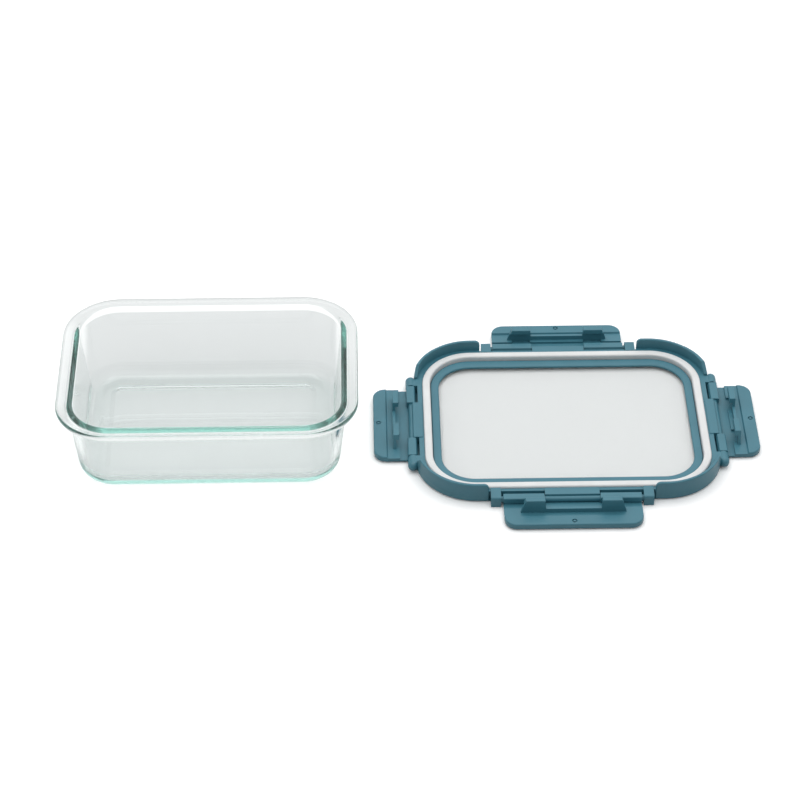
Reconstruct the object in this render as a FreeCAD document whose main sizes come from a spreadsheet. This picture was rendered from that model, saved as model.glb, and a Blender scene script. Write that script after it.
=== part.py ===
import FreeCAD, Part
import os
import Sketcher

# A rectangular glass storage container beside its four-latch lid. The lid lies upside down with
# every latch open flat. Millimetres, +Z up, origin at the centre of the container's base.

DOC = FreeCAD.newDocument("glass_storage_container")
SHEET = DOC.addObject("Spreadsheet::Sheet", "Sizes")
WORKING = DOC.addObject("Spreadsheet::Sheet", "Working")
TOLERANCE = 0.02
LONG_EDGE = 4.0
CUBIC_CENTIMETRE = 1000.0

SIZES = (
    # glass container
    ("rim_half_length", 85.0),
    ("rim_half_width", 63.0),
    ("rim_corner", 32.0),
    ("container_height", 49.0),
    ("rim_thickness", 3.6),
    ("rim_overhang", 6.4),
    ("rim_edge_round", 1.3),
    ("rim_mouth_round", 1.8),
    ("neck_round", 1.5),
    ("wall_thickness", 3.1),
    ("wall_draft", 6.3),
    ("floor_thickness", 4.2),
    ("base_round", 10.0),
    ("inside_round", 9.0),
    # where the lid lies, and how far its parts stand above the table
    ("lid_offset", 204.7),
    ("deck_top", 5.8),
    ("guard_top", 12.4),
    ("bridge_top", 6.2),
    ("post_top", 6.6),
    ("seal_top", 7.1),
    # lid frame outline
    ("deck_half_length", 84.9),
    ("deck_half_width", 62.9),
    ("deck_corner", 31.9),
    ("guard_gap", 0.6),
    ("guard_wall", 1.8),
    ("guard_end_long", 46.9),
    ("guard_end_short", 37.6),
    ("latch_gap_depth", 4.0),
    ("guard_ramp", 5.5),
    ("guard_end_round", 3.0),
    ("guard_edge_round", 0.6),
    ("deck_edge_round", 1.5),
    # window, its rebate and the sloping frame lip around it
    ("window_half_length", 72.3),
    ("window_half_width", 49.7),
    ("window_corner", 19.0),
    ("pane_overlap", 3.0),
    ("pane_top", 3.0),
    ("pane_bottom", 0.2),
    ("pane_gap", 0.1),
    ("pane_chamfer", 0.3),
    ("bond_gap", 0.35),
    ("lip_height", 4.2),
    ("lip_round", 1.0),
    # seal ring and its groove
    ("seal_half_length", 81.9),
    ("seal_half_width", 60.6),
    ("seal_corner", 28.9),
    ("seal_width", 4.5),
    ("seal_round", 1.1),
    ("seal_bottom", 2.7),
    ("groove_floor", 2.6),
    ("groove_gap_outside", 0.15),
    ("groove_gap_inside", 0.7),
    # hinge line of the latches
    ("hinge_height", 3.3),
    ("hinge_half_length", 88.8),
    ("hinge_half_width", 67.1),
    ("rod_radius", 1.8),
    ("rod_clearance", 0.06),
    ("barrel_radius", 2.75),
    ("bridge_half", 15.4),
    ("bridge_setback", 0.6),
    ("bridge_bottom", 0.5),
    ("bridge_round", 0.5),
    ("jaw_reach", 0.9),
    ("jaw_top", 2.2),
    ("shelf_top", 0.45),
    ("post_inner", 40.2),
    ("post_outer", 45.9),
    ("post_reach", 2.7),
    ("post_round", 1.3),
    ("boss_radius", 3.0),
    ("boss_inner", 31.3),
    ("boss_length", 6.1),
    ("socket_depth", 3.5),
    ("rod_end", 3.7),
    # latches
    ("long_latch_half", 38.9),
    ("short_latch_half", 30.7),
    ("latch_reach", 22.3),
    ("latch_bottom", 0.3),
    ("web_top", 1.9),
    ("channel_start", 7.3),
    ("channel_top", 3.1),
    ("lip_start", 14.7),
    ("lip_top", 4.1),
    ("lip_slope", 0.3),
    ("latch_corner", 7.1),
    ("latch_edge_round", 0.9),
    ("barrel_gap", 0.4),
    ("barrel_block_inner", 2.1),
    ("barrel_block_top", 6.0),
    ("barrel_round", 0.7),
    ("web_clearance", 1.4),
    ("catch_start", 9.5),
    ("catch_thickness", 1.6),
    ("catch_top", 11.5),
    ("catch_width", 10.9),
    ("catch_foot_outside", 2.8),
    ("catch_foot_inside", 0.6),
    ("catch_round", 0.4),
    ("nose_start", 7.7),
    ("nose_bottom", 8.6),
    ("long_catch_inner", 16.0),
    ("short_catch_inner", 8.9),
    ("bar_top", 5.8),
    ("bar_width", 1.7),
    ("gate_from_edge", 3.0),
    ("gate_radius", 1.5),
    ("gate_core", 0.7),
    ("gate_depth", 0.8),
    # how far joined shapes run into each other, and how far cuts run past a face
    ("arm_root", 2.0),
    ("raised_root", 0.5),
    ("cut_margin", 1.0),
)


def fill_sheet():
    """Write every driving dimension into the spreadsheet, one alias to a row."""
    for row, (alias, size) in enumerate(SIZES, start=1):
        SHEET.set(f"A{row}", alias)
        SHEET.set(f"B{row}", str(size))
        SHEET.setAlias(f"B{row}", alias)
    DOC.recompute()


def bound(expression):
    """Prefix the aliases in an expression with the sheet's name."""
    words = []
    for word in expression.replace("(", " ( ").replace(")", " ) ").split():
        words.append(f"Sizes.{word}" if word[0].isalpha() else word)
    return " ".join(words)


def value(expression):
    """The number that an expression over the sheet's aliases gives."""
    WORKING.set("A1", f"= {bound(expression)}")
    WORKING.recompute()
    return float(WORKING.get("A1"))


def bind(thing, name, expression):
    thing.setExpression(name, bound(expression))


# ---------------------------------------------------------------- sketch helpers

def new_body(label):
    body = DOC.addObject("PartDesign::Body", f"{label}_body")
    body.Label = label
    return body


def plane(body, role):
    return next(item for item in body.Origin.OriginFeatures if item.Role == role)


def new_sketch(body, name, role="XY_Plane", offset="0", shift=None):
    """A sketch on one of the body's own planes, lifted off it by an expression."""
    sketch = body.newObject("Sketcher::SketchObject", name)
    sketch.AttachmentSupport = [(plane(body, role), "")]
    sketch.MapMode = "FlatFace"
    bind(sketch, ".AttachmentOffset.Base.z", offset)
    if shift:
        bind(sketch, ".AttachmentOffset.Base.x", shift)
    return sketch


def fix_coordinate(sketch, kind, geometry, point, expression):
    """Dimension one coordinate of a point from the sketch origin."""
    size = value(expression)
    if abs(size) < 1e-9:
        axis = -2 if kind == "DistanceX" else -1
        sketch.addConstraint(Sketcher.Constraint("PointOnObject", geometry, point, axis))
        return
    if size > 0:
        constraint = Sketcher.Constraint(kind, -1, 1, geometry, point, size)
        formula = expression
    else:
        constraint = Sketcher.Constraint(kind, geometry, point, -1, 1, -size)
        formula = f"-1 * ( {expression} )"
    index = sketch.addConstraint(constraint)
    bind(sketch, f"Constraints[{index}]", formula)


def polygon(sketch, corners):
    """A closed outline of straight lines; each corner is a pair of expressions."""
    points = [FreeCAD.Vector(value(x), value(y), 0) for x, y in corners]
    first = sketch.GeometryCount
    count = len(points)
    for index in range(count):
        sketch.addGeometry(Part.LineSegment(points[index], points[(index + 1) % count]))
    for index in range(count):
        after = first + (index + 1) % count
        sketch.addConstraint(Sketcher.Constraint("Coincident", first + index, 2, after, 1))
    for index, (x, y) in enumerate(corners):
        fix_coordinate(sketch, "DistanceX", first + index, 1, x)
        fix_coordinate(sketch, "DistanceY", first + index, 1, y)


def rectangle(sketch, low_x, low_y, high_x, high_y):
    polygon(sketch, ((low_x, low_y), (high_x, low_y), (high_x, high_y), (low_x, high_y)))


def circle(sketch, x, y, radius):
    centre = FreeCAD.Vector(value(x), value(y), 0)
    up = FreeCAD.Vector(0, 0, 1)
    index = sketch.addGeometry(Part.Circle(centre, up, value(radius)))
    fix_coordinate(sketch, "DistanceX", index, 3, x)
    fix_coordinate(sketch, "DistanceY", index, 3, y)
    size = sketch.addConstraint(Sketcher.Constraint("Radius", index, value(radius)))
    bind(sketch, f"Constraints[{size}]", radius)


def rounded_rectangle(sketch, half_x, half_y, corner):
    """A rectangle with round corners, centred on the sketch origin."""
    a, b, r = value(half_x), value(half_y), value(corner)
    vector = FreeCAD.Vector
    turns = ((1, 1, 0.0), (-1, 1, 90.0), (-1, -1, 180.0), (1, -1, 270.0))
    starts = (vector(a, r - b, 0), vector(a - r, b, 0), vector(-a, b - r, 0), vector(r - a, -b, 0))
    ends = (vector(a, b - r, 0), vector(r - a, b, 0), vector(-a, r - b, 0), vector(a - r, -b, 0))
    first = sketch.GeometryCount
    for side, (sign_x, sign_y, angle) in enumerate(turns):
        sketch.addGeometry(Part.LineSegment(starts[side], ends[side]))
        centre = vector(sign_x * (a - r), sign_y * (b - r), 0)
        low = FreeCAD.Units.Quantity(f"{angle} deg").getValueAs("rad").Value
        high = FreeCAD.Units.Quantity(f"{angle + 90} deg").getValueAs("rad").Value
        sketch.addGeometry(Part.ArcOfCircle(Part.Circle(centre, vector(0, 0, 1), r), low, high))
    for side in range(4):
        line = first + 2 * side
        arc = line + 1
        following = first + (2 * side + 2) % 8
        sketch.addConstraint(Sketcher.Constraint("Tangent", line, 2, arc, 1))
        sketch.addConstraint(Sketcher.Constraint("Tangent", arc, 2, following, 1))
        sketch.addConstraint(Sketcher.Constraint("Vertical" if side % 2 == 0 else "Horizontal", line))
        if side:
            sketch.addConstraint(Sketcher.Constraint("Equal", first + 1, arc))
    size = sketch.addConstraint(Sketcher.Constraint("Radius", first + 1, r))
    bind(sketch, f"Constraints[{size}]", corner)
    fix_coordinate(sketch, "DistanceX", first, 1, half_x)
    fix_coordinate(sketch, "DistanceY", first + 2, 1, half_y)
    fix_coordinate(sketch, "DistanceX", first + 4, 1, f"-1 * ( {half_x} )")
    fix_coordinate(sketch, "DistanceY", first + 6, 1, f"-1 * ( {half_y} )")


# ---------------------------------------------------------------- feature helpers

def pad(body, sketch, length, name, both_ways=False, downward=False, taper="0"):
    feature = body.newObject("PartDesign::Pad", name)
    feature.Profile = sketch
    feature.Midplane = both_ways
    feature.Reversed = downward
    bind(feature, "Length", length)
    bind(feature, "TaperAngle", taper)
    DOC.recompute()
    return feature


def pocket(body, sketch, length, name, both_ways=False, upward=False, taper="0"):
    """Cut a sketch away, and make sure that the cut removed something."""
    before = body.Shape.Volume
    feature = body.newObject("PartDesign::Pocket", name)
    feature.Profile = sketch
    feature.Midplane = both_ways
    feature.Reversed = upward
    bind(feature, "Length", length)
    bind(feature, "TaperAngle", taper)
    DOC.recompute()
    if feature.Shape.Volume > before - TOLERANCE:
        raise RuntimeError(f"{name} removes nothing")
    return feature


def edge_names(feature, chosen):
    """Names of the feature's edges whose bounding box passes the test."""
    names = []
    for index, edge in enumerate(feature.Shape.Edges, start=1):
        if chosen(edge.BoundBox):
            names.append(f"Edge{index}")
    return names


def near(first, second):
    return abs(first - second) < TOLERANCE


def level(box, height):
    """True for an edge or face that lies flat at one height."""
    return near(box.ZMin, height) and near(box.ZMax, height)


def round_edges(body, base, chosen, radius, name):
    names = edge_names(base, chosen)
    if not names:
        raise RuntimeError(f"{name} finds no edge")
    feature = body.newObject("PartDesign::Fillet", name)
    feature.Base = (base, names)
    bind(feature, "Radius", radius)
    DOC.recompute()
    return feature


def bevel_edges(body, base, chosen, size, name):
    names = edge_names(base, chosen)
    if not names:
        raise RuntimeError(f"{name} finds no edge")
    feature = body.newObject("PartDesign::Chamfer", name)
    feature.Base = (base, names)
    bind(feature, "Size", size)
    DOC.recompute()
    return feature


# ---------------------------------------------------------------- glass container

def make_container():
    """Pressed glass tray: drafted walls, thick floor and a flat flange round the mouth."""
    body = new_body("glass_container")
    neck = value("container_height - rim_thickness")
    top = value("container_height")
    floor = value("floor_thickness")

    outline = new_sketch(body, "wall_outline", offset="container_height - rim_thickness")
    rounded_rectangle(outline, "rim_half_length - rim_overhang", "rim_half_width - rim_overhang",
                      "rim_corner - rim_overhang")
    block = pad(body, outline, "container_height - rim_thickness", "wall_block", downward=True,
                taper="-1 * wall_draft")
    round_edges(body, block, lambda box: level(box, 0.0), "base_round", "base_round_edge")

    flange_outline = new_sketch(body, "flange_outline", offset="container_height - rim_thickness")
    rounded_rectangle(flange_outline, "rim_half_length", "rim_half_width", "rim_corner")
    pad(body, flange_outline, "rim_thickness", "rim_flange")

    mouth = new_sketch(body, "mouth_outline", offset="container_height")
    rounded_rectangle(mouth, "rim_half_length - rim_overhang - wall_thickness",
                      "rim_half_width - rim_overhang - wall_thickness",
                      "rim_corner - rim_overhang - wall_thickness")
    cavity = pocket(body, mouth, "container_height - floor_thickness", "cavity",
                    taper="-1 * wall_draft")

    sunk = round_edges(body, cavity, lambda box: level(box, floor), "inside_round", "inside_round_edge")
    reach = value("rim_half_length - rim_overhang - wall_thickness")
    lipped = round_edges(body, sunk, lambda box: level(box, top) and on_loop(box, reach),
                         "rim_mouth_round", "mouth_round_edge")
    rim = value("rim_half_length")
    rimmed = round_edges(body, lipped,
                         lambda box: (level(box, top) or level(box, neck)) and on_loop(box, rim),
                         "rim_edge_round", "rim_round_edge")
    wall = value("rim_half_length - rim_overhang")
    round_edges(body, rimmed, lambda box: level(box, neck) and on_loop(box, wall),
                "neck_round", "neck_round_edge")
    return body


def on_loop(box, half_length):
    """True for an edge of a loop that reaches out to half_length and is symmetric about the middle."""
    widest = max(abs(box.XMin), abs(box.XMax))
    half_width = half_length - value("rim_half_length - rim_half_width")
    deepest = max(abs(box.YMin), abs(box.YMax))
    return near(widest, half_length) or near(deepest, half_width)


# ---------------------------------------------------------------- lid frame

def place_on_lid(body):
    bind(body, ".Placement.Base.x", "lid_offset")


def four_rectangles(sketch, low_x, low_y, high_x, high_y):
    """The same rectangle in all four quadrants."""
    for sign_x in ("1", "-1"):
        for sign_y in ("1", "-1"):
            rectangle(sketch, f"{sign_x} * ( {low_x} )", f"{sign_y} * ( {low_y} )",
                      f"{sign_x} * ( {high_x} )", f"{sign_y} * ( {high_y} )")


def make_guards(body):
    """Four corner skirts that stand round the container's rim when the lid is on."""
    outer = "guard_gap + guard_wall"
    skirt = new_sketch(body, "guard_outline")
    rounded_rectangle(skirt, f"rim_half_length + {outer}", f"rim_half_width + {outer}",
                      f"rim_corner + {outer}")
    ring = pad(body, skirt, "guard_top", "guard_block")
    round_edges(body, ring, lambda box: level(box, 0.0), "deck_edge_round", "guard_foot")
    well = new_sketch(body, "guard_inside", offset="guard_top")
    rounded_rectangle(well, "rim_half_length + guard_gap", "rim_half_width + guard_gap",
                      "rim_corner + guard_gap")
    pocket(body, well, "guard_top - deck_top", "guard_well")

    gaps = new_sketch(body, "latch_gaps", offset="guard_top")
    far_x = f"rim_half_length + {outer} + cut_margin"
    far_y = f"rim_half_width + {outer} + cut_margin"
    inner_x = "deck_half_length - latch_gap_depth"
    inner_y = "deck_half_width - latch_gap_depth"
    for sign in ("1", "-1"):
        rectangle(gaps, "-1 * guard_end_long", f"{sign} * ( {inner_y} )",
                  "guard_end_long", f"{sign} * ( {far_y} )")
        rectangle(gaps, f"{sign} * ( {inner_x} )", "-1 * guard_end_short",
                  f"{sign} * ( {far_x} )", "guard_end_short")
    cut = pocket(body, gaps, "guard_top - shelf_top", "latch_gap_cut")

    top = value("guard_top")
    long_end = value("guard_end_long")
    short_end = value("guard_end_short")
    ramp = bevel_edges(body, cut,
                       lambda box: level(box, top) and near(abs(box.YMin), short_end)
                       and near(abs(box.YMax), short_end), "guard_ramp", "guard_ramps")
    return round_edges(body, ramp,
                       lambda box: level(box, top) and near(abs(box.XMin), long_end)
                       and near(abs(box.XMax), long_end), "guard_end_round", "guard_ends")


def make_deck(body):
    """The flat ring that carries the seal groove, the window and the latches."""
    outline = new_sketch(body, "deck_outline")
    rounded_rectangle(outline, "deck_half_length", "deck_half_width", "deck_corner")
    pad(body, outline, "deck_top", "deck")
    add_arms(body, "bridge", "-1 * bridge_setback", "bridge_top")
    add_arms(body, "jaw", "jaw_reach", "jaw_top")


def add_arms(body, name, reach, top):
    """One arm on each side of the deck, up to a height and out to a distance past the hinge line."""
    outline = new_sketch(body, f"{name}_outline", offset="bridge_bottom")
    for sign in ("1", "-1"):
        rectangle(outline, "-1 * bridge_half", f"{sign} * ( deck_half_width - arm_root )",
                  "bridge_half", f"{sign} * ( hinge_half_width + {reach} )")
        rectangle(outline, f"{sign} * ( deck_half_length - arm_root )", "-1 * bridge_half",
                  f"{sign} * ( hinge_half_length + {reach} )", "bridge_half")
    arms = pad(body, outline, f"{top} - bridge_bottom", f"{name}_arms")
    height = value(top)
    far_x = value(f"hinge_half_length + {reach}")
    far_y = value(f"hinge_half_width + {reach}")
    round_edges(body, arms,
                lambda box: level(box, height)
                and ((near(abs(box.XMin), far_x) and near(abs(box.XMax), far_x))
                     or (near(abs(box.YMin), far_y) and near(abs(box.YMax), far_y))),
                "bridge_round", f"{name}_noses")


def make_posts(body):
    """Square posts beside the long latches; each takes one end of a latch's rod."""
    outline = new_sketch(body, "post_outline")
    four_rectangles(outline, "post_inner", "deck_half_width - arm_root",
                    "post_outer", "hinge_half_width + post_reach")
    posts = pad(body, outline, "post_top", "posts")
    top = value("post_top")
    far = value("hinge_half_width + post_reach")
    round_edges(body, posts,
                lambda box: level(box, top) and near(abs(box.YMin), far) and near(abs(box.YMax), far),
                "post_round", "post_noses")


def make_bosses(body):
    """Round bosses with domed ends beside the short latches, each on a foot from the deck."""
    feet = new_sketch(body, "boss_feet", offset="latch_bottom")
    four_rectangles(feet, "deck_half_length - arm_root", "boss_inner",
                    "hinge_half_length", "boss_inner + boss_length")
    pad(body, feet, "deck_top - latch_bottom", "boss_feet_pad")
    half = new_sketch(body, "boss_half", offset="hinge_height", shift="hinge_half_length")
    for sign in (1, -1):
        boss_profile(half, sign)
    bosses = body.newObject("PartDesign::Revolution", "bosses")
    bosses.Profile = half
    bosses.ReferenceAxis = (half, ["V_Axis"])
    bosses.Angle = 360
    DOC.recompute()
    other_side = body.newObject("PartDesign::Mirrored", "bosses_other_side")
    other_side.Originals = [bosses]
    other_side.MirrorPlane = (plane(body, "YZ_Plane"), [""])
    body.Tip = other_side
    DOC.recompute()


def boss_profile(sketch, sign):
    """Half section of a boss: straight side, quarter-round end."""
    near_end = f"{sign} * boss_inner"
    round_start = f"{sign} * ( boss_inner + boss_length )"
    tip = f"{sign} * ( boss_inner + boss_length + boss_radius )"
    vector = FreeCAD.Vector
    radius = value("boss_radius")
    centre = vector(0, value(round_start), 0)
    first = sketch.GeometryCount
    quarter = FreeCAD.Units.Quantity("90 deg").getValueAs("rad").Value
    low, high = (0.0, quarter) if sign > 0 else (-quarter, 0.0)
    side_end, tip_end = (1, 2) if sign > 0 else (2, 1)
    sketch.addGeometry(Part.LineSegment(vector(0, value(near_end), 0), vector(radius, value(near_end), 0)))
    sketch.addGeometry(Part.LineSegment(vector(radius, value(near_end), 0), vector(radius, centre.y, 0)))
    sketch.addGeometry(Part.ArcOfCircle(Part.Circle(centre, vector(0, 0, 1), radius), low, high))
    sketch.addGeometry(Part.LineSegment(vector(0, value(tip), 0), vector(0, value(near_end), 0)))
    joins = ((first, 2, first + 1, 1), (first + 1, 2, first + 2, side_end),
             (first + 2, tip_end, first + 3, 1), (first + 3, 2, first, 1))
    for join in joins:
        sketch.addConstraint(Sketcher.Constraint("Coincident", *join))
    fix_coordinate(sketch, "DistanceX", first, 1, "0")
    fix_coordinate(sketch, "DistanceY", first, 1, near_end)
    fix_coordinate(sketch, "DistanceX", first, 2, "boss_radius")
    fix_coordinate(sketch, "DistanceY", first, 2, near_end)
    fix_coordinate(sketch, "DistanceX", first + 1, 2, "boss_radius")
    fix_coordinate(sketch, "DistanceY", first + 1, 2, round_start)
    fix_coordinate(sketch, "DistanceX", first + 3, 1, "0")
    fix_coordinate(sketch, "DistanceY", first + 3, 1, tip)
    fix_coordinate(sketch, "DistanceX", first + 2, 3, "0")


def cut_rod_seats(body):
    """Bore the bridges, posts and bosses for the latch rods along both hinge directions."""
    along_x = new_sketch(body, "long_seat_circles", role="YZ_Plane")
    along_y = new_sketch(body, "short_seat_circles", role="XZ_Plane")
    for sign in ("1", "-1"):
        circle(along_x, f"{sign} * hinge_half_width", "hinge_height", "rod_radius + rod_clearance")
        circle(along_y, f"{sign} * hinge_half_length", "hinge_height", "rod_radius + rod_clearance")
    pocket(body, along_x, "2 * ( post_inner + socket_depth )", "long_seats", both_ways=True)
    pocket(body, along_y, "2 * ( boss_inner + socket_depth )", "short_seats", both_ways=True)


def cut_window_and_groove(body):
    """Window opening with a rebate for the pane, and the seal groove with its rounded lip."""
    rebate = new_sketch(body, "rebate_outline")
    grow = "pane_overlap + pane_gap"
    rounded_rectangle(rebate, f"window_half_length + {grow}", f"window_half_width + {grow}",
                      f"window_corner + {grow}")
    pocket(body, rebate, "pane_top", "window_rebate", upward=True)
    opening = new_sketch(body, "window_outline", offset="deck_top")
    rounded_rectangle(opening, "window_half_length", "window_half_width", "window_corner")
    pocket(body, opening, "deck_top", "window_opening")

    groove = new_sketch(body, "groove_outline", offset="deck_top")
    out = "groove_gap_outside"
    rounded_rectangle(groove, f"seal_half_length + {out}", f"seal_half_width + {out}",
                      f"seal_corner + {out}")
    back = "seal_width - groove_gap_inside"
    rounded_rectangle(groove, f"seal_half_length - {back}", f"seal_half_width - {back}",
                      f"seal_corner - {back}")
    pocket(body, groove, "deck_top - groove_floor", "seal_groove")
    sink = new_sketch(body, "lip_outline", offset="deck_top")
    rounded_rectangle(sink, "seal_half_length - seal_width", "seal_half_width - seal_width",
                      "seal_corner - seal_width")
    cut = pocket(body, sink, "deck_top - lip_height", "lip_sink")
    top = value("lip_height")
    reach_x = value("window_half_length")
    reach_y = value("window_half_width")
    return round_edges(body, cut,
                       lambda box: level(box, top)
                       and max(abs(box.XMin), abs(box.XMax)) < reach_x + TOLERANCE
                       and max(abs(box.YMin), abs(box.YMax)) < reach_y + TOLERANCE,
                       "lip_round", "window_lip")


def round_guard_tops(body, base):
    """Soften the long upper edges of the corner guards."""
    top = value("guard_top")
    return round_edges(body, base,
                       lambda box: level(box, top) and max(box.XLength, box.YLength) > LONG_EDGE,
                       "guard_edge_round", "guard_tops")


def make_frame():
    body = new_body("lid_frame")
    guards = make_guards(body)
    round_guard_tops(body, guards)
    make_deck(body)
    make_posts(body)
    make_bosses(body)
    cut_rod_seats(body)
    cut_window_and_groove(body)
    place_on_lid(body)
    return body


# ---------------------------------------------------------------- window and seal

def make_window():
    """Clear pane bonded into the frame's rebate."""
    body = new_body("lid_window")
    outline = new_sketch(body, "pane_outline", offset="pane_bottom")
    rounded_rectangle(outline, "window_half_length + pane_overlap", "window_half_width + pane_overlap",
                      "window_corner + pane_overlap")
    pane = pad(body, outline, "pane_top - bond_gap - pane_bottom", "pane")
    low = value("pane_bottom")
    high = value("pane_top - bond_gap")
    bevel_edges(body, pane, lambda box: level(box, low) or level(box, high), "pane_chamfer", "pane_edges")
    place_on_lid(body)
    return body


def make_seal():
    """Soft seal ring; its upper face presses on the container's rim when the lid is on."""
    body = new_body("seal_gasket")
    outline = new_sketch(body, "seal_outline", offset="seal_bottom")
    rounded_rectangle(outline, "seal_half_length", "seal_half_width", "seal_corner")
    rounded_rectangle(outline, "seal_half_length - seal_width", "seal_half_width - seal_width",
                      "seal_corner - seal_width")
    ring = pad(body, outline, "seal_top - seal_bottom", "seal_ring")
    high = value("seal_top")
    round_edges(body, ring, lambda box: level(box, high), "seal_round", "seal_edges")
    place_on_lid(body)
    return body


# ---------------------------------------------------------------- latches
# A latch is drawn with its hinge line along X through (0, hinge_height) of its YZ plane, and its
# plate reaching out along +Y. Lying flat is the open position.

def latch_plate(body, half):
    """Thin web by the hinge, a shallow channel, then the thicker finger lip."""
    section = new_sketch(body, "plate_section", role="YZ_Plane")
    polygon(section, (
        ("0", "latch_bottom"), ("latch_reach", "latch_bottom"), ("latch_reach", "lip_top"),
        ("lip_start + lip_slope", "lip_top"), ("lip_start - lip_slope", "channel_top"),
        ("channel_start", "channel_top"), ("channel_start", "web_top"), ("0", "web_top"),
    ))
    plate = pad(body, section, f"2 * {half}", "plate", both_ways=True)
    reach = value("latch_reach")
    corners = round_edges(body, plate,
                          lambda box: near(box.YMin, reach) and near(box.YMax, reach)
                          and near(box.XLength, 0.0), "latch_corner", "free_corners")
    low = value("latch_bottom")
    high = value("lip_top")
    start = value("lip_start + lip_slope")
    return round_edges(body, corners,
                       lambda box: (level(box, low) and not near(box.YMax, 0.0))
                       or (level(box, high) and not near(box.YMax, start)),
                       "latch_edge_round", "plate_edges")


def latch_barrels(body, half):
    """Two hinge barrels, parted where the frame's bridge passes, joined by the thin rod."""
    barrel = new_sketch(body, "barrel_circle", role="YZ_Plane")
    circle(barrel, "0", "hinge_height", "barrel_radius")
    pad(body, barrel, f"2 * {half}", "barrels", both_ways=True)
    block = new_sketch(body, "barrel_block", role="YZ_Plane")
    rectangle(block, "-1 * barrel_block_inner", "hinge_height", "barrel_radius", "barrel_block_top")
    blocks = pad(body, block, f"2 * {half}", "barrel_blocks", both_ways=True)
    top = value("barrel_block_top")
    round_edges(body, blocks, lambda box: level(box, top) and near(box.YLength, 0.0),
                "barrel_round", "barrel_edges")
    gap = new_sketch(body, "bridge_gap", role="YZ_Plane")
    inner = "-1 * ( barrel_radius + cut_margin )"
    outer = "barrel_radius + cut_margin"
    polygon(gap, (
        (inner, "latch_bottom - cut_margin"), ("web_clearance", "latch_bottom - cut_margin"),
        ("web_clearance", "web_top"), (outer, "web_top"),
        (outer, "barrel_block_top + cut_margin"), (inner, "barrel_block_top + cut_margin"),
    ))
    pocket(body, gap, "2 * ( bridge_half + barrel_gap )", "bridge_gap_cut", both_ways=True)
    rod = new_sketch(body, "rod_circle", role="YZ_Plane")
    circle(rod, "0", "hinge_height", "rod_radius")
    pad(body, rod, f"2 * ( {half} + rod_end )", "rod", both_ways=True)


def catch_side(inner, height, inside):
    """Expression for one side of a catch at a height; both sides spread towards the foot."""
    drop = f"( catch_top - ( {height} ) ) / ( catch_top - channel_top )"
    if inside:
        return f"{inner} - catch_foot_inside * {drop}"
    return f"{inner} + catch_width + catch_foot_outside * {drop}"


def catch_block(body, name, inner, bottom, start, thickness):
    """Both catches between a height and their tops, as thick as asked."""
    shape = new_sketch(body, f"{name}_outline", role="XZ_Plane",
                       offset=f"-1 * ( {start} + {thickness} )")
    for sign in ("1", "-1"):
        polygon(shape, (
            (f"{sign} * ( {catch_side(inner, bottom, True)} )", bottom),
            (f"{sign} * ( {catch_side(inner, bottom, False)} )", bottom),
            (f"{sign} * ( {inner} + catch_width )", "catch_top"),
            (f"{sign} * ( {inner} )", "catch_top"),
        ))
    return pad(body, shape, thickness, name)


def latch_catches(body, inner):
    """Two upright catches with noses that lean to the hinge, and a low bar between them."""
    hollows = new_sketch(body, "catch_hollows", offset="channel_top + cut_margin")
    for sign in ("1", "-1"):
        rectangle(hollows, f"{sign} * ( {inner} )", "channel_start",
                  f"{sign} * ( {inner} + catch_width )", "catch_start")
    pocket(body, hollows, "channel_top - web_top + cut_margin", "catch_hollows_cut")
    bar = new_sketch(body, "bar_outline", offset="channel_top - raised_root")
    rectangle(bar, f"-1 * ( {inner} )", "catch_start", inner, "catch_start + bar_width")
    pad(body, bar, "bar_top - channel_top + raised_root", "bar")
    catch_block(body, "catch_walls", inner, "channel_top - raised_root", "catch_start", "catch_thickness")
    noses = catch_block(body, "catch_noses", inner, "nose_bottom", "nose_start",
                        "catch_start - nose_start + raised_root")
    top = value("catch_top")
    round_edges(body, noses, lambda box: level(box, top), "catch_round", "catch_edges")


def latch_gate(body):
    """Small ring-shaped moulding gate mark in the middle of the finger lip."""
    mark = new_sketch(body, "gate_circle", offset="lip_top")
    circle(mark, "0", "latch_reach - gate_from_edge", "gate_radius")
    circle(mark, "0", "latch_reach - gate_from_edge", "gate_core")
    pocket(body, mark, "gate_depth", "gate_mark")


def make_latch(label, half, inner, turn, x, y):
    body = new_body(label)
    latch_plate(body, half)
    latch_barrels(body, half)
    latch_catches(body, inner)
    latch_gate(body)
    body.Placement = FreeCAD.Placement(FreeCAD.Vector(), FreeCAD.Rotation(FreeCAD.Vector(0, 0, 1), turn))
    bind(body, ".Placement.Base.x", x)
    bind(body, ".Placement.Base.y", y)
    return body


def make_latches():
    long_half, short_half = "long_latch_half", "short_latch_half"
    long_catch, short_catch = "long_catch_inner", "short_catch_inner"
    return [
        make_latch("latch_back", long_half, long_catch, 0, "lid_offset", "hinge_half_width"),
        make_latch("latch_front", long_half, long_catch, 180, "lid_offset", "-1 * hinge_half_width"),
        make_latch("latch_left", short_half, short_catch, 90, "lid_offset - hinge_half_length", "0"),
        make_latch("latch_right", short_half, short_catch, -90, "lid_offset + hinge_half_length", "0"),
    ]


# ---------------------------------------------------------------- build, check and write

def check_document():
    for thing in DOC.Objects:
        if "Invalid" in thing.State or "Error" in thing.State:
            raise RuntimeError(f"{thing.Name} failed: {thing.State}")


def check_shape(body):
    shape = body.Shape
    if shape.isNull() or not shape.isValid() or len(shape.Solids) != 1:
        raise RuntimeError(f"{body.Label} is not one valid solid")


def main():
    fill_sheet()
    bodies = [make_container(), make_frame(), make_window(), make_seal()] + make_latches()
    DOC.removeObject(WORKING.Name)
    DOC.recompute()
    check_document()
    for body in bodies:
        check_shape(body)
    os.makedirs("parts", exist_ok=True)
    for body in bodies:
        body.Shape.exportStep(f"parts/{body.Label}.step")
        print(f"{body.Label}: {body.Shape.Volume / CUBIC_CENTIMETRE:.2f} cm3")


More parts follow.
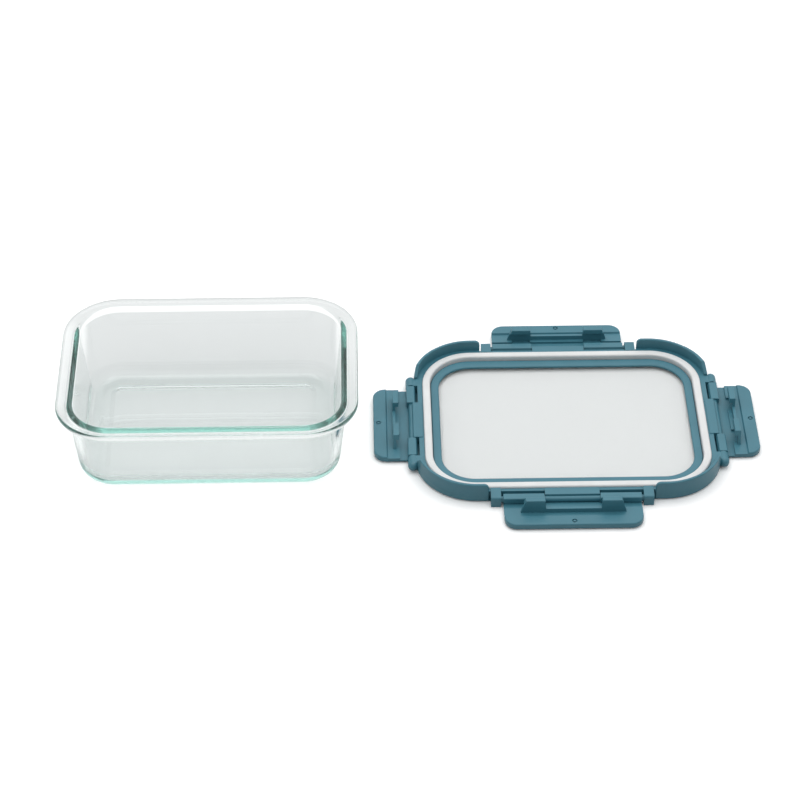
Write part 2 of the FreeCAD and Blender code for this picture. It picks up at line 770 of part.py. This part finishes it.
main()
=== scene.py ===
import math

import bmesh
import bpy
from mathutils import Matrix, Vector


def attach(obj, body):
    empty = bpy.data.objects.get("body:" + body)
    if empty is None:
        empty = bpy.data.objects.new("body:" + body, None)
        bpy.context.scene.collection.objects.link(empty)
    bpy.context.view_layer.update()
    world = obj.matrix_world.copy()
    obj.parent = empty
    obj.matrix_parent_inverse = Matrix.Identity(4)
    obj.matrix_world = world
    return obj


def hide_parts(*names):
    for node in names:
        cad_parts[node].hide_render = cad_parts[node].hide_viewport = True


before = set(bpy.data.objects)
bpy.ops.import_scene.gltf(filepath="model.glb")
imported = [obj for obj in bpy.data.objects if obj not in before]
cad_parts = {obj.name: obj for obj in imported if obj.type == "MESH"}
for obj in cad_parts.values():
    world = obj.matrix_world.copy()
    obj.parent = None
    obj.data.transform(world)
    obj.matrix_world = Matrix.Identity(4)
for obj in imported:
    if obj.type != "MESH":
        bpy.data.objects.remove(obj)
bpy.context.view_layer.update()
MM = 0.001


# ---------------------------------------------------------------- shapes

# points round each corner and along each side of a swept loop, and its least corner radius in mm
CORNER_STEPS, SIDE_STEPS = 28, 10
SMALLEST_CORNER = 2.0


def arc_corner(before, corner, after, radius, steps):
    """Points of a round corner between two straight runs of an outline."""
    towards_before = (before - corner).normalized()
    towards_after = (after - corner).normalized()
    half_angle = towards_before.angle(towards_after) / 2
    setback = radius / math.tan(half_angle)
    centre = corner + (towards_before + towards_after).normalized() * (radius / math.sin(half_angle))
    start = corner + towards_before * setback - centre
    turn = start.angle_signed(corner + towards_after * setback - centre)
    return [centre + Matrix.Rotation(-turn * step / steps, 2) @ start for step in range(steps + 1)]


def round_profile(corners, steps):
    """Turn (inset, height, radius) corners in millimetres into an open outline with round corners."""
    vectors = [Vector((inset, height)) for inset, height, radius in corners]
    points = [vectors[0]]
    for index in range(1, len(corners) - 1):
        before, corner, after = vectors[index - 1:index + 2]
        points.extend(arc_corner(before, corner, after, corners[index][2], steps))
    points.append(vectors[-1])
    return points


def rounded_loop(half_x, half_y, corner):
    """Points round a rectangle with round corners, in millimetres, with evenly split sides."""
    loop = []
    centres = ((1, 1), (-1, 1), (-1, -1), (1, -1))
    for quarter, (sign_x, sign_y) in enumerate(centres):
        centre = Vector((sign_x * (half_x - corner), sign_y * (half_y - corner)))
        for step in range(CORNER_STEPS + 1):
            angle = math.radians(90 * (quarter + step / CORNER_STEPS))
            loop.append(centre + Vector((math.cos(angle), math.sin(angle))) * corner)
        following = centres[(quarter + 1) % 4]
        next_centre = Vector((following[0] * (half_x - corner), following[1] * (half_y - corner)))
        angle = math.radians(90 * (quarter + 1))
        next_start = next_centre + Vector((math.cos(angle), math.sin(angle))) * corner
        last = loop[-1]
        for step in range(1, SIDE_STEPS):
            loop.append(last.lerp(next_start, step / SIDE_STEPS))
    return loop


def sweep(name, outline, size):
    """Carry an outline of (inset, height) points round a rounded rectangle, and cap both ends."""
    half_x, half_y, corner = size
    mesh = bmesh.new()
    rings = []
    for inset, height in outline:
        loop = rounded_loop(half_x - inset, half_y - inset, max(corner - inset, SMALLEST_CORNER))
        rings.append([mesh.verts.new((x * MM, y * MM, height * MM)) for x, y in loop])
    for lower, upper in zip(rings, rings[1:]):
        for index in range(len(lower)):
            after = (index + 1) % len(lower)
            mesh.faces.new((lower[index], lower[after], upper[after], upper[index]))
    mesh.faces.new(list(reversed(rings[0])))
    mesh.faces.new(rings[-1])
    bmesh.ops.recalc_face_normals(mesh, faces=mesh.faces)
    data = bpy.data.meshes.new(name)
    mesh.to_mesh(data)
    mesh.free()
    data.polygons.foreach_set("use_smooth", [True] * len(data.polygons))
    piece = bpy.data.objects.new(name, data)
    bpy.context.scene.collection.objects.link(piece)
    return piece


# ---------------------------------------------------------------- materials

# floor colours: seen by the camera, through glass (a painted shade near the object, plain floor further
# off), and by matt surfaces
FLOOR_DIRECT = (1.08, 1.08, 1.08, 1)
FLOOR_PAINTED_SHADE_IN_GLASS = (0.70, 0.71, 0.712, 1)
FLOOR_BEYOND = (0.92, 0.925, 0.925, 1)
FLOOR_TO_MATT = (0.42, 0.42, 0.42, 1)
# metres: centre, half size and corner radius of the painted shade on the floor, and half its soft border
SHADE_AT_TRAY = ((-0.003, 0.0295), (0.0835, 0.0945), 0.026)
SHADE_AT_LID = ((0.2047, 0.0), (0.085, 0.06), 0.03)
SHADE_BORDER = 0.004
# the range that most of a noise texture's values lie in
NOISE_LOW, NOISE_HIGH = 0.3, 0.7


def new_material(name):
    material = bpy.data.materials.new(name)
    material.use_nodes = True
    nodes = material.node_tree.nodes
    return material, nodes, material.node_tree.links, nodes["Principled BSDF"]


def noise(nodes, links, scale, detail):
    """A noise texture in object space, so that it has one scale on every piece."""
    place = nodes.new("ShaderNodeTexCoord")
    texture = nodes.new("ShaderNodeTexNoise")
    texture.inputs["Scale"].default_value = scale
    texture.inputs["Detail"].default_value = detail
    links.new(place.outputs["Object"], texture.inputs["Vector"])
    return texture


def spread(nodes, links, source, low, high):
    """Map a noise value on to a range."""
    remap = nodes.new("ShaderNodeMapRange")
    remap.inputs["From Min"].default_value = NOISE_LOW
    remap.inputs["From Max"].default_value = NOISE_HIGH
    remap.inputs["To Min"].default_value = low
    remap.inputs["To Max"].default_value = high
    links.new(source, remap.inputs["Value"])
    return remap.outputs["Result"]


def bump(nodes, links, source, distance, strength, after=None):
    """Relief of a given depth, laid over another relief if one is given."""
    node = nodes.new("ShaderNodeBump")
    node.inputs["Distance"].default_value = distance
    node.inputs["Strength"].default_value = strength
    links.new(source, node.inputs["Height"])
    if after is not None:
        links.new(after, node.inputs["Normal"])
    return node.outputs["Normal"]


def mix_colours(nodes, links, source, first, second):
    """Go from one fixed colour to another."""
    mix = nodes.new("ShaderNodeMix")
    mix.data_type = "RGBA"
    mix.inputs["A"].default_value = first
    mix.inputs["B"].default_value = second
    links.new(source, mix.inputs["Factor"])
    return mix.outputs["Result"]


def mix_over(nodes, links, source, under, over):
    """Lay a fixed colour over the colour from another node."""
    mix = nodes.new("ShaderNodeMix")
    mix.data_type = "RGBA"
    mix.inputs["B"].default_value = over
    links.new(under, mix.inputs["A"])
    links.new(source, mix.inputs["Factor"])
    return mix.outputs["Result"]


def plastic_material():
    """Satin teal polypropylene: faint cloudiness from moulding and a fine eroded grain."""
    material, nodes, links, shader = new_material("teal_moulded_plastic")
    cloud = noise(nodes, links, scale=60.0, detail=3.0)
    grain = noise(nodes, links, scale=2600.0, detail=2.0)
    flow = noise(nodes, links, scale=220.0, detail=2.0)
    colour = mix_colours(nodes, links, spread(nodes, links, cloud.outputs["Fac"], 0.0, 1.0),
                         (0.043, 0.165, 0.216, 1), (0.049, 0.181, 0.237, 1))
    links.new(colour, shader.inputs["Base Color"])
    links.new(spread(nodes, links, flow.outputs["Fac"], 0.36, 0.44), shader.inputs["Roughness"])
    shader.inputs["Specular IOR Level"].default_value = 0.5
    fine = bump(nodes, links, grain.outputs["Fac"], distance=0.00004, strength=0.25)
    normal = bump(nodes, links, flow.outputs["Fac"], distance=0.0001, strength=0.12, after=fine)
    links.new(normal, shader.inputs["Normal"])
    return material


def silicone_material():
    """Soft white silicone with a little light passing through it."""
    material, nodes, links, shader = new_material("white_silicone_rubber")
    cloud = noise(nodes, links, scale=90.0, detail=2.0)
    skin = noise(nodes, links, scale=1500.0, detail=3.0)
    colour = mix_colours(nodes, links, spread(nodes, links, cloud.outputs["Fac"], 0.0, 1.0),
                         (0.66, 0.67, 0.67, 1), (0.71, 0.72, 0.72, 1))
    links.new(colour, shader.inputs["Base Color"])
    shader.inputs["Subsurface Weight"].default_value = 0.25
    shader.inputs["Subsurface Radius"].default_value = (1.0, 0.9, 0.8)
    shader.inputs["Subsurface Scale"].default_value = 0.0015
    links.new(spread(nodes, links, skin.outputs["Fac"], 0.42, 0.55), shader.inputs["Roughness"])
    normal = bump(nodes, links, skin.outputs["Fac"], distance=0.00005, strength=0.2)
    links.new(normal, shader.inputs["Normal"])
    return material


def glass_material(name, tint, density, wave):
    """Clear glass that darkens to green along its depth; light passes it, so it casts a faint shadow."""
    material, nodes, links, shader = new_material(name)
    output = nodes["Material Output"]
    ripple = noise(nodes, links, scale=28.0, detail=1.0)
    smear = noise(nodes, links, scale=9.0, detail=2.0)
    shader.inputs["Base Color"].default_value = (1, 1, 1, 1)
    shader.inputs["IOR"].default_value = 1.5
    shader.inputs["Transmission Weight"].default_value = 1.0
    links.new(spread(nodes, links, smear.outputs["Fac"], 0.0, 0.02), shader.inputs["Roughness"])
    normal = bump(nodes, links, ripple.outputs["Fac"], distance=wave, strength=0.5)
    links.new(normal, shader.inputs["Normal"])
    path = nodes.new("ShaderNodeLightPath")
    through = nodes.new("ShaderNodeBsdfTransparent")
    through.inputs["Color"].default_value = (0.88, 0.895, 0.89, 1)
    choose = nodes.new("ShaderNodeMixShader")
    links.new(path.outputs["Is Shadow Ray"], choose.inputs["Fac"])
    links.new(shader.outputs["BSDF"], choose.inputs[1])
    links.new(through.outputs["BSDF"], choose.inputs[2])
    links.new(choose.outputs["Shader"], output.inputs["Surface"])
    depth = nodes.new("ShaderNodeVolumeAbsorption")
    depth.inputs["Color"].default_value = tint
    depth.inputs["Density"].default_value = density
    links.new(depth.outputs["Volume"], output.inputs["Volume"])
    return material


def calculate(nodes, links, operation, first, second):
    """A maths node; each input is either a number or the output of another node."""
    node = nodes.new("ShaderNodeMath")
    node.operation = operation
    for slot, given in zip(node.inputs, (first, second)):
        if isinstance(given, (int, float)):
            slot.default_value = given
        else:
            links.new(given, slot)
    return node.outputs["Value"]


def beyond(nodes, links, position, centre, half, corner):
    """0 inside a rounded rectangle of the floor and 1 outside it, with a soft border."""
    squares = []
    for axis, middle, size in zip("XY", centre, half):
        offset = calculate(nodes, links, "SUBTRACT", position.outputs[axis], middle)
        distance = calculate(nodes, links, "ABSOLUTE", offset, 0.0)
        past = calculate(nodes, links, "SUBTRACT", distance, size - corner)
        past = calculate(nodes, links, "MAXIMUM", past, 0.0)
        squares.append(calculate(nodes, links, "MULTIPLY", past, past))
    reach = calculate(nodes, links, "SQRT", calculate(nodes, links, "ADD", *squares), 0.0)
    border = nodes.new("ShaderNodeMapRange")
    border.interpolation_type = "SMOOTHSTEP"
    border.inputs["From Min"].default_value = corner - SHADE_BORDER
    border.inputs["From Max"].default_value = corner + SHADE_BORDER
    links.new(reach, border.inputs["Value"])
    return border.outputs["Result"]


def floor_material():
    """Matt white sweep, burnt out where the camera sees it, with a painted shade round the glass and the
    lid where it is seen in glass.
    """
    material, nodes, links, shader = new_material("studio_floor")
    tooth = noise(nodes, links, scale=700.0, detail=3.0)
    place = nodes.new("ShaderNodeTexCoord")
    position = nodes.new("ShaderNodeSeparateXYZ")
    links.new(place.outputs["Object"], position.inputs["Vector"])
    # painted shade: the floor seen in glass is grey near the tray and under the lid, and lighter further
    # off
    outside = calculate(nodes, links, "MINIMUM",
                        beyond(nodes, links, position, *SHADE_AT_TRAY),
                        beyond(nodes, links, position, *SHADE_AT_LID))
    shaded = mix_colours(nodes, links, outside, FLOOR_PAINTED_SHADE_IN_GLASS, FLOOR_BEYOND)
    path = nodes.new("ShaderNodeLightPath")
    bounced = mix_over(nodes, links, path.outputs["Is Diffuse Ray"], shaded, FLOOR_TO_MATT)
    colour = mix_over(nodes, links, path.outputs["Is Camera Ray"], bounced, FLOOR_DIRECT)
    links.new(colour, shader.inputs["Base Color"])
    shader.inputs["Roughness"].default_value = 0.9
    shader.inputs["Specular IOR Level"].default_value = 0.15
    normal = bump(nodes, links, tooth.outputs["Fac"], distance=0.00005, strength=0.1)
    links.new(normal, shader.inputs["Normal"])
    return material


def wear(piece, material):
    piece.data.materials.clear()
    piece.data.materials.append(material)


# ---------------------------------------------------------------- glass container

# millimetres: half length, half width and corner radius over the rim
RIM = (85.0, 63.0, 32.0)
WALL_LEAN = math.tan(math.radians(6.3))


def container_piece(material):
    """The pressed glass tray: soft, fire-polished edges, and a panel sunk into its underside."""
    top, neck, floor = 49.0, 45.4, 4.2
    overhang, wall = 6.4, 3.1
    panel_depth, panel_border, panel_slope = 0.65, 13.0, 3.2
    under_cap, inner_cap = 20.0, 13.0
    outer_foot = overhang + neck * WALL_LEAN
    inner_foot = overhang + wall + (top - floor) * WALL_LEAN
    outline = round_profile((
        (outer_foot + under_cap, panel_depth, 0),
        (outer_foot + panel_border + panel_slope, panel_depth, 4.0),
        (outer_foot + panel_border, 0.0, 4.0),
        (outer_foot, 0.0, 10.0),
        (overhang, neck, 1.6),
        (0.0, neck, 1.6),
        (0.0, top, 1.7),
        (overhang + wall, top, 2.2),
        (inner_foot, floor, 9.0),
        (inner_foot + inner_cap, floor, 0),
    ), steps=10)
    piece = sweep("glass_tray", outline, RIM)
    wear(piece, material)
    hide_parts("glass_container")
    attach(piece, "container")
    return piece


# ---------------------------------------------------------------- studio

def add_light(name, place, target, size, power):
    """A rectangular softbox that faces a target."""
    data = bpy.data.lights.new(name, "AREA")
    data.shape = "RECTANGLE"
    data.size, data.size_y = size
    data.energy = power
    light = bpy.data.objects.new(name, data)
    light.location = place
    light.rotation_mode = "QUATERNION"
    light.rotation_quaternion = (Vector(target) - Vector(place)).to_track_quat("-Z", "Y")
    bpy.context.scene.collection.objects.link(light)


def colour_ramp(nodes, links, source, stops):
    """Colours that follow a 0 to 1 value; the first two stops are the ends."""
    node = nodes.new("ShaderNodeValToRGB")
    elements = node.color_ramp.elements
    for index, (position, colour) in enumerate(stops):
        element = elements[index] if index < 2 else elements.new(position)
        element.position = position
        element.color = (*colour, 1)
    links.new(source, node.inputs["Fac"])
    return node.outputs["Color"]


def make_world():
    """White overhead and behind; grey near the horizon and on the camera's side, so edges show."""
    world = bpy.data.worlds.new("studio")
    bpy.context.scene.world = world
    world.use_nodes = True
    nodes, links = world.node_tree.nodes, world.node_tree.links
    place = nodes.new("ShaderNodeTexCoord")
    split = nodes.new("ShaderNodeSeparateXYZ")
    links.new(place.outputs["Generated"], split.inputs["Vector"])
    back = nodes.new("ShaderNodeMapRange")
    back.inputs["From Min"].default_value = -0.9
    back.inputs["From Max"].default_value = 0.5
    links.new(split.outputs["Y"], back.inputs["Value"])
    front_side = colour_ramp(nodes, links, split.outputs["Z"], (
        (0.0, (0.12, 0.13, 0.135)), (0.85, (1.15, 1.15, 1.15)), (0.35, (0.26, 0.27, 0.275))))
    back_side = colour_ramp(nodes, links, split.outputs["Z"], (
        (0.0, (0.30, 0.31, 0.31)), (0.6, (1.15, 1.15, 1.15)), (0.22, (0.85, 0.86, 0.86))))
    around = nodes.new("ShaderNodeMix")
    around.data_type = "RGBA"
    links.new(back.outputs["Result"], around.inputs["Factor"])
    links.new(front_side, around.inputs["A"])
    links.new(back_side, around.inputs["B"])
    path = nodes.new("ShaderNodeLightPath")
    seen = mix_over(nodes, links, path.outputs["Is Camera Ray"], around.outputs["Result"],
                    (0.98, 0.98, 0.98, 1))
    background = nodes["Background"]
    links.new(seen, background.inputs["Color"])
    background.inputs["Strength"].default_value = 1.0


def make_floor(material):
    """One large sheet, just under the feet so that they don't share a surface with it."""
    data = bpy.data.meshes.new("floor")
    reach, drop = 14.0, 0.0003
    corners = [(-reach, -reach, 0), (reach, -reach, 0), (reach, reach, 0), (-reach, reach, 0)]
    data.from_pydata(corners, [], [(0, 1, 2, 3)])
    floor = bpy.data.objects.new("floor", data)
    floor.location.z = -drop
    bpy.context.scene.collection.objects.link(floor)
    wear(floor, material)


def make_camera():
    """Looks down at the pair from in front, with a long lens."""
    yaw, pitch = math.radians(1.12), math.radians(39.81)
    data = bpy.data.cameras.new("camera")
    data.sensor_width = 36.0
    data.lens = 123.5
    data.clip_end = 50.0
    camera = bpy.data.objects.new("camera", data)
    forward = Vector((math.sin(yaw) * math.cos(pitch), math.cos(yaw) * math.cos(pitch),
                      -math.sin(pitch)))
    camera.location = Vector((85.28, -1215.0, 1033.87)) * MM
    camera.rotation_mode = "QUATERNION"
    camera.rotation_quaternion = forward.to_track_quat("-Z", "Y")
    bpy.context.scene.collection.objects.link(camera)
    bpy.context.scene.camera = camera


def make_studio():
    make_world()
    make_floor(floor_material())
    add_light("overhead_softbox", place=(0.1, 0.35, 1.5), target=(0.1, 0.0, 0.0),
              size=(1.6, 1.2), power=6.2)
    make_camera()
    light_paths = bpy.context.scene.cycles
    light_paths.max_bounces = 40
    light_paths.transmission_bounces = 36
    light_paths.glossy_bounces = 36
    light_paths.transparent_max_bounces = 24
    settings = bpy.context.scene.view_settings
    settings.view_transform = "Standard"
    settings.look = "None"


# ---------------------------------------------------------------- the object

def dress_nodes():
    """Materials for the pieces that keep their CAD surface."""
    plastic = plastic_material()
    silicone = silicone_material()
    pane = glass_material("pane_glass", tint=(0.62, 0.80, 0.76, 1), density=8.0, wave=0.00004)
    for name in ("lid_frame", "latch_front", "latch_back", "latch_left", "latch_right"):
        wear(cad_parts[name], plastic)
    wear(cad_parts["seal_gasket"], silicone)
    wear(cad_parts["lid_window"], pane)


def main():
    dress_nodes()
    container_piece(glass_material("container_glass_clear", tint=(0.49, 0.75, 0.705, 1),
                                   density=15.0, wave=0.00012))
    make_studio()


main()
